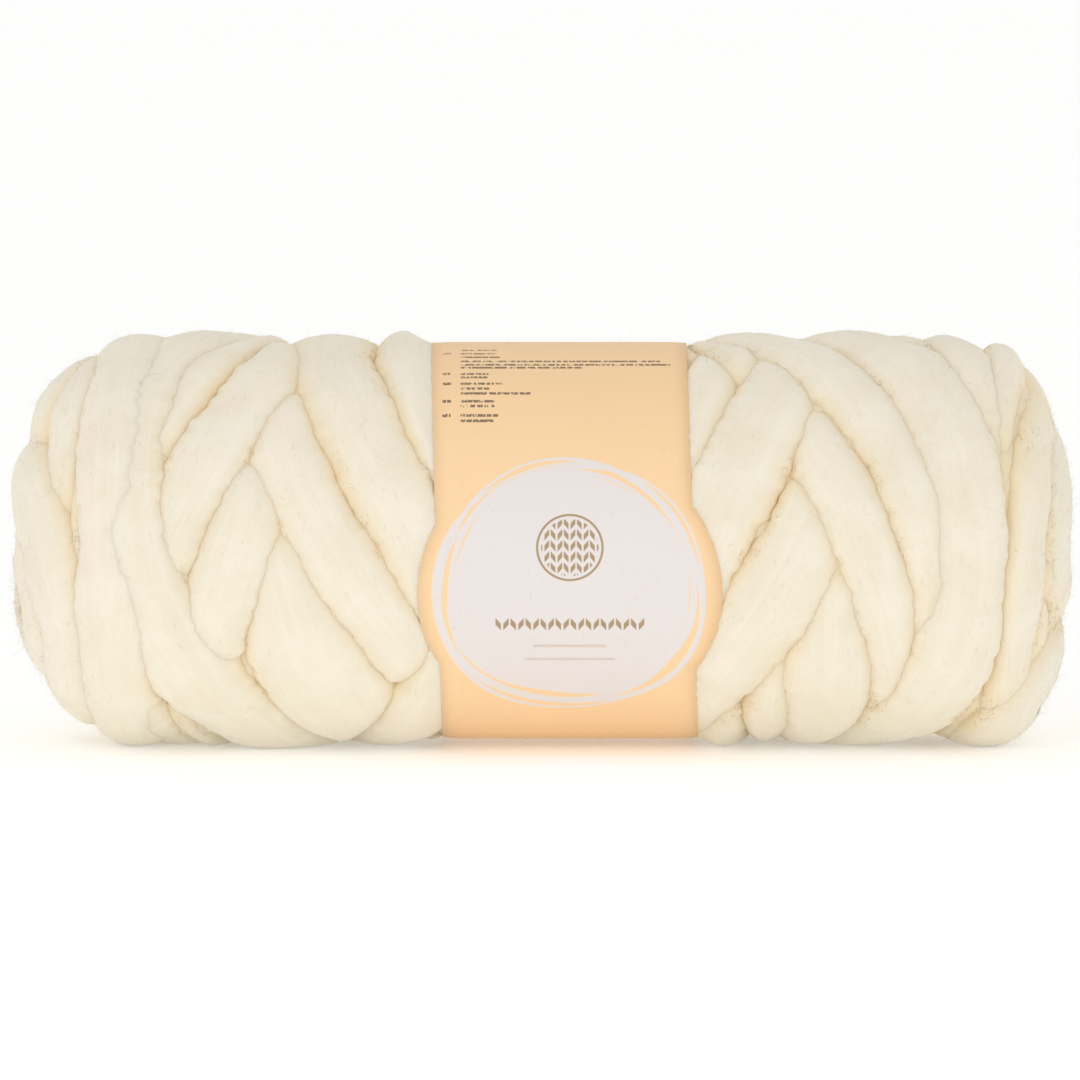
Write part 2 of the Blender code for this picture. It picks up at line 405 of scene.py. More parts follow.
@dataclass(frozen=True)
class Barrel:
    """The form that the crowns of the turns follow, in its own axes: x along it, y backwards and z up
    from its axis. A straight side closes in a superellipse dome at each end."""

    axis_height: float
    radius: float = 73.5 * MM
    half_length: float = 190.0 * MM
    left_depth: float = 50.0 * MM
    left_power: float = 2.1
    right_depth: float = 40.0 * MM
    right_power: float = 2.5
    hollow_depth: float = 9.0 * MM
    hollow_radius: float = 13.0 * MM
    furthest: float = 0.3
    halvings: int = 34
    probe_reach: float = 0.95
    probes: int = 96

    def _shape(self, points: Array) -> tuple[Array, ...]:
        """The numbers that the barrel's formula uses.

        Args:
            points: points in the barrel's axes.

        Returns:
            For each point: its side, reach beyond the rim, radius, dome depth and dome power.
        """
        left = points[..., 0] < 0
        depth = np.where(left, self.left_depth, self.right_depth)
        power = np.where(left, self.left_power, self.right_power)
        reach = np.maximum(np.abs(points[..., 0]) - (self.half_length - depth), 0.0)
        radius = np.maximum(np.hypot(points[..., 1], points[..., 2]), 1e-6)
        return np.where(left, -1.0, 1.0), reach, radius, depth, power

    def value(self, points: Array) -> Array:
        """Negative inside and positive outside: the superellipse sum of reach and radius, less one."""
        _, reach, radius, depth, power = self._shape(points)
        return (reach / depth) ** power + (radius / self.radius) ** power - 1.0

    def gradient(self, points: Array) -> Array:
        """The slope of value: the derivatives of its two powers along x and along the radius.

        Args:
            points: points in the barrel's axes.

        Returns:
            The direction in which value grows at each point, and how fast.
        """
        side, reach, radius, depth, power = self._shape(points)
        along = side * power / depth * (reach / depth) ** (power - 1)
        out = power / self.radius * (radius / self.radius) ** (power - 1) / radius
        return np.stack([along, out * points[..., 1], out * points[..., 2]], axis=-1)

    def normal(self, points: Array) -> Array:
        """Outward unit normals."""
        slope = self.gradient(points)
        return slope / np.linalg.norm(slope, axis=-1, keepdims=True)

    def settle(self, points: Array, rounds: int = 5) -> Array:
        """Moves points on to the barrel along its gradient, by Newton's method.

        Args:
            points: points near the barrel's surface.
            rounds: how many steps are taken.

        Returns:
            The points on the surface.
        """
        for _ in range(rounds):
            slope = self.gradient(points)
            step = self.value(points) / np.maximum((slope ** 2).sum(axis=-1), 1e-9)
            points = points - slope * step[..., None]
        return points

    def leave(self, start: Array, rays: Array) -> Array:
        """Where rays from a point inside leave the barrel: each is halved again and again, and the half
        that holds the surface is kept.

        Args:
            start: the point inside.
            rays: unit directions.

        Returns:
            The point of each ray on the surface.
        """
        near, far = np.zeros(len(rays)), np.full(len(rays), self.furthest)
        for _ in range(self.halvings):
            half = 0.5 * (near + far)
            inside = self.value(start + rays * half[:, None]) < 0
            near, far = np.where(inside, half, near), np.where(inside, far, half)
        return start + rays * near[:, None]

    def hollow(self, points: Array) -> Array:
        """The hollow round the axis at each end: a Gaussian dip.

        Args:
            points: points on the barrel's surface.

        Returns:
            How deep the hollow is at each point.
        """
        at_end = np.abs(points[..., 0]) > self.half_length - self.right_depth
        radius = np.hypot(points[..., 1], points[..., 2])
        return np.where(at_end, self.hollow_depth * np.exp(-(radius / self.hollow_radius) ** 2), 0.0)


# Least slant between a turn's plane and the surface that counts, so that its width stays finite
LEAST_SLANT = 0.35


@dataclass(frozen=True)
class Turn:
    """One turn of roving: the plane x = middle + (rise z - push y) / barrel radius, how wide the turn
    is, how high in the winding it lies, how proud it stands and how firmly it presses others down."""

    name: str
    middle: float
    rise: float
    push: float
    width: float
    level: float
    lift: float = 0.0
    press: float = 1.0

    def plane(self, barrel: Barrel) -> Array:
        """The plane's unscaled normal."""
        return np.array([1.0, self.push / barrel.radius, -self.rise / barrel.radius])

    def ratio(self, barrel: Barrel, points: Array, normals: Array) -> Array:
        """Distance over the barrel from the turn's middle: the height over the plane, divided by how
        fast it grows along the surface.

        Args:
            barrel: the form that the turn lies on.
            points: points on its surface.
            normals: outward unit normals there.

        Returns:
            The distance of each point, in half widths of the turn.
        """
        plane = self.plane(barrel)
        height = points @ plane - self.middle
        across = np.sqrt(np.maximum(plane @ plane - (normals @ plane) ** 2, LEAST_SLANT ** 2))
        return np.abs(height) / across / (0.5 * self.width)

    def centre(self, barrel: Barrel) -> Array:
        """The point furthest inside the barrel on the plane's steepest line through the axis.

        Args:
            barrel: the form that the plane cuts.

        Returns:
            The point.
        """
        slope = max(math.hypot(self.rise, self.push), 1e-6)
        share = np.linspace(-barrel.probe_reach, barrel.probe_reach, barrel.probes)
        down = np.array([-slope / barrel.radius, self.push / slope, -self.rise / slope])
        line = np.array([self.middle, 0.0, 0.0]) + share[:, None] * barrel.radius * down
        return line[np.argmin(barrel.value(line))]

    def path(self, barrel: Barrel, count: int) -> Array:
        """Points of the closed line where the plane cuts the barrel: where rays in the plane from a
        point inside leave it, then spaced evenly by length.

        Args:
            barrel: the form that is cut.
            count: how many points.

        Returns:
            An array of count points.
        """
        plane = self.plane(barrel) / np.linalg.norm(self.plane(barrel))
        up = np.array([0.0, 0.0, 1.0]) - plane[2] * plane
        up /= np.linalg.norm(up)
        forward = np.cross(plane, up)
        angle = np.linspace(0.0, FULL_TURN, 4 * count + 1)
        rays = np.cos(angle)[:, None] * forward + np.sin(angle)[:, None] * up
        line = barrel.leave(self.centre(barrel), rays)
        run = np.concatenate([[0.0], np.cumsum(np.linalg.norm(np.diff(line, axis=0), axis=1))])
        even = np.arange(count) * run[-1] / count
        return np.stack([np.interp(even, run, line[:, axis]) for axis in range(3)], axis=1)


def crossing(name: str, top: float, front: float, bottom: float, width: float, level: float,
             lift: float = 0.0, press: float = 1.0) -> Turn:
    """A turn round the barrel, from where its middle crosses three lines of it. Lengths are in mm.

    Args:
        name: the turn's name.
        top: x where the middle crosses the top.
        front: x where it crosses the front.
        bottom: x where it crosses the underside.
        width: the turn's width.
        level: its level in the winding.
        lift: how proud of the barrel it stands.
        press: the share of the full sink that it presses into the turns under it.

    Returns:
        The turn.
    """
    middle, rise = 0.5 * (top + bottom), 0.5 * (top - bottom)
    push = front - middle
    return Turn(name, middle * MM, rise * MM, push * MM, width * MM, level, lift * MM, press)


def strap(name: str, clock: float, low: float, middle: float, width: float, level: float,
          lift: float = 0.0, press: float = 1.0) -> Turn:
    """A turn over an end of the barrel. Lengths are in mm.

    Args:
        name: the turn's name.
        clock: the angle where it dips furthest down the barrel, 0 degrees at the front and 90 on top.
        low: the plane's x there.
        middle: the plane's x on the axis.
        width: the turn's width.
        level: its level in the winding.
        lift: how proud of the barrel it stands.
        press: the share of the full sink that it presses into the turns under it.

    Returns:
        The turn.
    """
    dip, angle = low - middle, math.radians(clock)
    return Turn(name, middle * MM, dip * math.sin(angle) * MM, dip * math.cos(angle) * MM, width * MM,
                level, lift * MM, press)


# Each turn: where its middle crosses the top, the front and the underside, width, level and lift
LEFT_TURNS = (
    crossing("left_outer_hoop", -143, -154.5, -144, 33, 5.2, press=0.35),
    crossing("left_inner_hoop", -123.3, -144.5, -82, 32, 5, 1, press=0.7),
    crossing("left_upper_rise", -105, -146, -116, 25.5, 3.2, press=0.6),
    crossing("left_long_rise", -78.5, -134.5, -130, 25.5, 4, 0.5),
    crossing("left_short_rise", -74.6, -109, -124.6, 28, 2, 1.5),
    crossing("left_low_pillow", -98, -92, -58, 44, 1, 1),
    crossing("left_first_fall", -88, -69.5, 3, 29.5, 3),
    crossing("left_second_fall", -74, -38, 8, 30, 5, -0.5),
    crossing("left_third_fall", -44, -15, 20, 28, 4.5, 0.5),
    crossing("left_band_rise", 38, -1.5, -55.5, 27, 5.5),
)

RIGHT_TURNS = (
    crossing("right_band_rise", 68, 34, 8, 28, 3, -0.5),
    crossing("right_band_foot", 50, 52, 62, 25, 2.8, 0.5),
    crossing("right_low_foot", 84, 84, 82, 28, 1, -0.5),
    crossing("right_low_pillow", 96, 104, 104, 38, 2, 0.5),
    crossing("right_short_rise", 122, 90, 35, 34, 4),
    crossing("right_first_fall", 68, 117.5, 122, 26.5, 5),
    crossing("right_long_rise", 97, 54.5, 34.5, 30, 6, 0.5),
    crossing("right_second_fall", 80, 143, 112.5, 28, 6.5),
    crossing("right_big_hoop", 112.5, 153.5, 106.5, 30, 7, 0.5, press=0.6),
    crossing("right_top_hoop", 140, 148, 118, 32, 3.5, press=0.5),
    crossing("right_shoulder_hoop", 172, 152, 150, 32, 2.4, press=0.7),
    crossing("right_end_hoop", 189.6, 175.5, 168, 33, 2.9),
)

# Each strap: the angle where it dips, x there, x on the axis, width, level and lift
LEFT_STRAPS = (
    strap("left_end_front", -63, -165.5, -184, 36, 3.5, press=0.6),
    strap("left_end_top", 82, -163, -187.5, 36, 2.5, -0.5, press=0.6),
    strap("left_end_back", 150, -156, -190, 32, 3),
    strap("left_end_under", -140, -160, -191, 32, 2),
    strap("left_end_inner", 20, -158, -183, 36, 1),
    strap("left_end_coil", -63, -173, -191.5, 32, 3.3),
)

RIGHT_STRAPS = (
    strap("right_end_under", -90, 163, 224, 46, 3.4, 0.5, press=0.7),
    strap("right_end_top", 100, 170, 193, 32, 2.2, press=0.6),
    strap("right_end_back", 170, 160, 193, 32, 3.2),
    strap("right_end_low", -150, 150, 186, 32, 1.5),
    strap("right_end_inner", 40, 162, 184, 36, 1.2),
    strap("right_end_coil", 30, 185.5, 189.5, 37, 3.3, press=0.5),
)

# Where the plain hoops lie that coil up the two ends
END_HOOPS = (-189.0 * MM, -183.6 * MM, 184.8 * MM, 189.2 * MM)


def under_hoops(reach: float = 172 * MM, pitch: float = 21 * MM, width: float = 29 * MM,
                lift: float = -1.5 * MM) -> tuple[Turn, ...]:
    """Plain hoops of the layer below, which close the gaps between the turns and coil up the ends.

    Args:
        reach: how far from the middle the evenly spaced hoops go.
        pitch: about how far apart they are.
        width: how wide each is.
        lift: how proud of the barrel they stand.

    Returns:
        The hoops.
    """
    places = (*np.linspace(-reach, reach, int(2 * reach / pitch) + 1), *END_HOOPS)
    return tuple(Turn(f"under_hoop_{index:02d}", float(x), 0.0, 0.0, width, 0.0, lift)
                 for index, x in enumerate(places))


def smooth_step(low: float, high: float, value: Array) -> Array:
    """A smooth step.

    Args:
        low: where it is still 0.
        high: where it has come to 1.
        value: the numbers it is read at.

    Returns:
        0 below low, 1 above high, and a smooth S between them.
    """
    t = np.clip((value - low) / (high - low), 0.0, 1.0)
    return t * t * (3.0 - 2.0 * t)


# The paper band


@dataclass(frozen=True)
class PaperBand:
    """A peach strip wrapped round the skein, with a round ear on each side of the front, a printed
    disc there, and its ends glued over each other at the back."""

    axis_height: float
    outer_radius: float
    left: float = -36.5 * MM
    right: float = 54.0 * MM
    lean: float = -2.0 * MM
    ear_radius: float = 53.7 * MM
    disc_x: float = 10.5 * MM
    disc_angle: float = math.radians(-10.0)
    thickness: float = 0.3 * MM
    wool_gap: float = 0.25 * MM
    slope_start: float = 0.4 * MM
    slope: float = 0.55
    edge_dip: float = 0.35 * MM
    edge_reach: float = 7.0 * MM
    lap_angle: float = math.radians(200.0)
    lap_length: float = 14.0 * MM
    steps_round: int = 360
    steps_across: int = 16

    def up_from_disc(self, angle: Array) -> Array:
        """Length round the band from the disc's middle, from half a turn below it to half above."""
        return self.outer_radius * (np.remainder(angle - self.disc_angle + math.pi, FULL_TURN) - math.pi)

    def edges(self, angle: Array) -> tuple[Array, Array]:
        """The band's edges: a leaning strip, widened by the ears' circle.

        Args:
            angle: angles round the barrel, 0 at the front and a quarter turn on top.

        Returns:
            The x of the left and of the right edge at each angle.
        """
        left = self.left + self.lean * np.sin(angle)
        right = self.right + self.lean * np.sin(angle)
        ear = np.sqrt(np.maximum(self.ear_radius ** 2 - self.up_from_disc(angle) ** 2, 0.0))
        return np.minimum(left, self.disc_x - ear), np.maximum(right, self.disc_x + ear)

    def outside(self, x: Array, angle: Array) -> Array:
        """How far x lies beyond the band's edges at that angle."""
        left, right = self.edges(angle)
        return np.maximum(left - x, x - right)

    def wool_limit(self, points: Array) -> Array:
        """How far out the wool may reach: to just inside the paper under the band, and further out in
        a straight slope with the distance from its edges.

        Args:
            points: points in the barrel's axes.

        Returns:
            The largest radius that each point may have.
        """
        angle = np.arctan2(points[..., 2], -points[..., 1])
        beyond = np.maximum(self.outside(points[..., 0], angle) - self.slope_start, 0.0)
        return self.outer_radius - self.thickness - self.wool_gap + self.slope * beyond

    def build(self) -> bpy.types.Object:
        """Builds the strip: x runs straight between the edges and the angle runs once round, with an
        outer face, an inner one and closed rims. The glued end stands one paper thickness prouder.

        Returns:
            The band's object.
        """
        angle = np.arange(self.steps_round) * FULL_TURN / self.steps_round - 0.25 * FULL_TURN
        left, right = self.edges(angle)
        share = np.linspace(0.0, 1.0, self.steps_across)
        x = left[:, None] + (right - left)[:, None] * share
        from_lap = np.remainder(angle - self.lap_angle, FULL_TURN)
        in_lap = (from_lap < self.lap_length / self.outer_radius)[:, None]
        from_edge = np.minimum(x - left[:, None], right[:, None] - x)
        dip = self.edge_dip * (1.0 - smooth_step(0.0, self.edge_reach, from_edge))
        middle = self.outer_radius - dip
        outer = middle + np.where(in_lap, self.thickness, 0.0)
        inner = middle - self.thickness
        section_x = np.concatenate([x, x[:, ::-1]], axis=1)
        section_r = np.concatenate([outer, inner[:, ::-1]], axis=1)
        points = np.stack([section_x, -section_r * np.cos(angle)[:, None],
                           section_r * np.sin(angle)[:, None] + self.axis_height], axis=-1)
        across = section_x - self.disc_x
        up = np.broadcast_to(self.up_from_disc(angle)[:, None], across.shape)
        place = np.stack([across, up, np.zeros_like(across)], axis=-1)
        surface = Surface("paper_band_sheet", points, {"band_place": place / MM})
        return surface.build(BandPrint().material("printed_paper"))


# Waver of the disc's edge: waves round it, phase and height (mm)
WAVER = ((3.0, 0.6, 0.5), (4.0, 2.6, 0.9), (7.0, 1.0, 0.3))

# Brushed strokes round the disc: how far beyond its rim (mm), phase, width, swellings, shift
STROKES = (
    (1.1, 0.4, 0.8, 2.0, 1.5),
    (-0.7, 2.6, 0.8, 3.0, 2.3),
    (-0.3, 4.9, 0.8, 2.0, 2.4),
    (-2.2, 1.2, 0.9, 3.0, 1.8),
)

# Rows of dashes: height over the disc's middle (mm), length (mm), with a mark in the margin or not
DASH_ROWS = (
    (64.7, 11.8, False), (67.1, 13.9, True), (71.5, 12.1, False), (73.8, 12.1, True),
    (77.8, 25.6, False), (80.4, 10.3, False), (83.1, 14.9, True), (86.9, 9.6, False),
    (89.0, 10.0, True), (93.3, 43.0, False), (95.4, 74.3, False), (98.1, 70.8, False),
    (101.7, 13.9, False), (105.0, 12.8, True), (109.0, 12.8, False),
)


@dataclass(frozen=True)
class BandPrint:
    """What is printed on the band: a brushed off-white disc, a round patch of knit stitches, a row of
    stitches below it, two pale rules, and rows of short dark dashes near the top. Sizes are in mm on
    the flat strip, from the disc's middle."""

    crisp: float = 0.2
    edge: float = 0.25
    soft: float = 0.3
    disc_radius: float = 46.5
    disc_inset: float = 3.6
    stroke_sway: float = 0.9
    stroke_shake: float = 0.7
    stitch_slope: float = 1.15
    stitch_gap: float = 0.08
    stitch_end: float = 0.44
    patch_height: float = 17.0
    patch_radius: float = 11.5
    patch_margin: float = 1.4
    patch_stitch: tuple[float, float, float] = (4.6, 3.9, 1.1)
    patch_shift: float = 30.0
    ring_half_width: float = 0.4
    row_height: float = -11.0
    row_half_length: float = 26.5
    row_half_height: float = 3.4
    row_stitch: tuple[float, float, float] = (5.3, 10.0, 1.3)
    row_shift: tuple[float, float] = (53.0, 26.5)
    rules: tuple[tuple[float, float], ...] = ((-19.6, 13.0), (-25.2, 16.0))
    rule_half_height: float = 0.55
    dash_start: float = -38.6
    dash_half_height: float = 0.62
    dash_strength: float = 0.8
    break_scale: tuple[float, float] = (1.3, 0.37)
    break_range: tuple[float, float] = (0.36, 0.48)
    margin_x: float = -43.4
    margin_half_size: tuple[float, float] = (1.6, 0.75)
    cloud_scale: float = 0.02
    ripple_scale: float = 0.035
    grain_scale: float = 2.2
    bump: tuple[float, float] = (0.6 * MM, 0.4)

    def material(self, name: str) -> bpy.types.Material:
        """Builds the paper with its print.

        Args:
            name: the material's name.

        Returns:
            The material.
        """
        bench = Bench(name)
        place = bench.attribute("band_place").outputs["Vector"]
        split = bench.add("ShaderNodeSeparateXYZ", {}, {0: place})
        x, y = bench.wire(split, 0), bench.wire(split, 1)
        colour = bench.blend(bench.noise(place, self.cloud_scale), Ink.PEACH.colour(),
                             Ink.PEACH_SHADE.colour())
        brown = self.patch(x, y).most(self.stitch_row(x, y))
        first, second = (self.bar(x, y, 0.0, height, half_length, self.rule_half_height)
                         for height, half_length in self.rules)
        pale = first.most(second)
        for mask, ink in ((self.disc(x, y), Ink.DISC), (brown, Ink.BROWN), (pale, Ink.PALE),
                          (self.small_rows(x, y), Ink.DARK)):
            colour = bench.blend(mask, colour, ink.colour())
        grain = bench.noise(place, self.grain_scale, 4.0, 0.6)
        ripple = bench.noise(place, self.ripple_scale)
        bench.feed(bench.shader, {
            "Base Color": colour,
            "Roughness": 0.55,
            "Specular IOR Level": 0.3,
            "Normal": bench.bump(grain * 0.1 + ripple, *self.bump),
        })
        return bench.material

    def disc(self, x: Wire, y: Wire) -> Wire:
        """The disc and the loose brush strokes round it: rings that are not quite concentric, each
        swelling and thinning round its course.

        Args:
            x: place across the band.
            y: place up the band.

        Returns:
            1 on the disc and its strokes.
        """
        angle = y.maths("ARCTAN2", x)
        radius = (x * x + y * y).maths("SQRT")
        first, *others = ((angle * waves + phase).sine() * height for waves, phase, height in WAVER)
        mask = (radius + sum(others, first)).inside(self.disc_radius - self.disc_inset, self.soft)
        for size, phase, width, swell, shift in STROKES:
            course = radius + (angle + phase).sine() * shift
            course = course + (angle * 2.0 + 3.0 * phase).sine() * self.stroke_sway
            course = course + (angle * 4.0 - phase).sine() * self.stroke_shake
            thick = (angle * swell + 2.0 * phase).sine() * (0.5 * width) + width
            stroke = (abs(course - (self.disc_radius + size)) - thick).inside(0.0, self.edge)
            mask = mask.most(stroke)
        return mask

    def stitches(self, x: Wire, y: Wire, width: float, height: float, thick: float) -> Wire:
        """Knit stitches: slanting strokes mirrored in each column, so that each pair makes a V.

        Args:
            x: place across the pattern.
            y: place up the pattern.
            width: how wide a stitch is.
            height: how far apart the rows are.
            thick: half the height of a stroke.

        Returns:
            1 on the stitches.
        """
        column = abs(x.repeated(width) - 0.5 * width)
        row = (y - column * self.stitch_slope).repeated(height)
        stroke = abs(row - 0.5 * height).inside(thick, self.soft)
        between = 1.0 - column.inside(self.stitch_gap * width, self.crisp)
        return stroke * between * column.inside(self.stitch_end * width, self.crisp)

    def patch(self, x: Wire, y: Wire) -> Wire:
        """A round patch of knit stitches inside a thin ring.

        Args:
            x: place across the band.
            y: place up the band.

        Returns:
            1 on the stitches and on the ring.
        """
        up = y - self.patch_height
        radius = (x * x + up * up).maths("SQRT")
        ring = abs(radius - self.patch_radius).inside(self.ring_half_width, self.edge)
        knit = self.stitches(x + self.patch_shift, up + self.patch_shift, *self.patch_stitch)
        return ring.most(knit * radius.inside(self.patch_radius - self.patch_margin, self.soft))

    def stitch_row(self, x: Wire, y: Wire) -> Wire:
        """One row of wide stitches, as long as a line of print.

        Args:
            x: place across the band.
            y: place up the band.

        Returns:
            1 on the stitches.
        """
        up = y - self.row_height
        knit = self.stitches(x + self.row_shift[0], up + self.row_shift[1], *self.row_stitch)
        knit = knit * abs(x).inside(self.row_half_length, self.crisp)
        return knit * abs(up).inside(self.row_half_height, self.crisp)

    def bar(self, x: Wire, y: Wire, centre_x: float, centre_y: float, half_length: float,
            half_height: float) -> Wire:
        """A plain bar with round ends.

        Args:
            x: place across the band.
            y: place up the band.
            centre_x: x of the bar's middle.
            centre_y: y of the bar's middle.
            half_length: half its length.
            half_height: half its height.

        Returns:
            1 on the bar.
        """
        beyond = (abs(x - centre_x) - (half_length - half_height)).most(0.0)
        up = y - centre_y
        return (beyond * beyond + up * up).maths("SQRT").inside(half_height, self.edge)

    def small_rows(self, x: Wire, y: Wire) -> Wire:
        """Rows of dark bars of uneven length near the top of the band, which a noise breaks into
        dashes, with a mark in the margin beside one row of each group.

        Args:
            x: place across the band.
            y: place up the band.

        Returns:
            The strength of the ink.
        """
        mask = None
        for centre_y, length, marked in DASH_ROWS:
            middle = self.dash_start + 0.5 * length
            line = self.bar(x, y, middle, centre_y, 0.5 * length, self.dash_half_height)
            if marked:
                line = line.most(self.bar(x, y, self.margin_x, centre_y, *self.margin_half_size))
            mask = line if mask is None else mask.most(line)
        across, up = x * self.break_scale[0], y * self.break_scale[1]
        place = x.bench.add("ShaderNodeCombineXYZ", {}, {0: across, 1: up}).outputs[0]
        broken = x.bench.noise(place, 1.0, 0.0)
        return mask * broken.step(*self.break_range) * self.dash_strength


# Meshes


@dataclass(frozen=True)
class Surface:
    """A mesh from a grid of points that closes on itself in both directions, with a value or a vector
    for each point under each attribute's name."""

    name: str
    points: Array
    attributes: Mapping[str, Array]

    def build(self, material: bpy.types.Material) -> bpy.types.Object:
        """Makes the object: each cell of the grid is one four-sided face.

        Args:
            material: the object's finish.

        Returns:
            The new object, at the origin.
        """
        rows, columns = self.points.shape[:2]
        index = np.arange(rows * columns).reshape(rows, columns)
        after_row, after_column = np.roll(index, -1, axis=0), np.roll(index, -1, axis=1)
        corner = np.roll(after_row, -1, axis=1)
        faces = np.stack([index, after_column, corner, after_row], axis=-1).reshape(-1, 4)
        return mesh_object(self.name, self.points.reshape(-1, 3), faces, material, self.attributes)


def mesh_object(name: str, points: Array, faces: Array, material: bpy.types.Material,
                attributes: Mapping[str, Array], body: str | None = BODY) -> bpy.types.Object:
    """Makes a smooth mesh object from whole arrays.

    Args:
        name: the object's name.
        points: one row of x, y, z for each vertex, in metres.
        faces: one row of vertex numbers for each face.
        material: the object's finish.
        attributes: a number or a vector for each vertex, by name.
        body: the body that the object rides on, if any.

    Returns:
        The new object, at the origin.
    """
    mesh = bpy.data.meshes.new(name)
    corners = faces.shape[1]
    mesh.vertices.add(len(points))
    mesh.vertices.foreach_set("co", points.astype(np.float32).ravel())
    mesh.loops.add(faces.size)
    mesh.loops.foreach_set("vertex_index", faces.astype(np.int32).ravel())
    mesh.polygons.add(len(faces))
    mesh.polygons.foreach_set("loop_start", np.arange(0, faces.size, corners, dtype=np.int32))
    mesh.update(calc_edges=True)
    mesh.shade_smooth()
    for key, values in attributes.items():
        vector = values.reshape(len(points), -1).shape[1] == 3
        layer = mesh.attributes.new(key, "FLOAT_VECTOR" if vector else "FLOAT", "POINT")
        layer.data.foreach_set("vector" if vector else "value", values.astype(np.float32).ravel())
    mesh.materials.append(material)
    made = bpy.data.objects.new(name, mesh)
    bpy.context.scene.collection.objects.link(made)
    if body:
        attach(made, body)
    return made


@dataclass(frozen=True)
class Fineness:
    """How many quads a turn has along it and round it."""

    along: int
    above: int
    below: int


SHOWN = Fineness(290, 25, 7)
HIDDEN = Fineness(140, 11, 5)


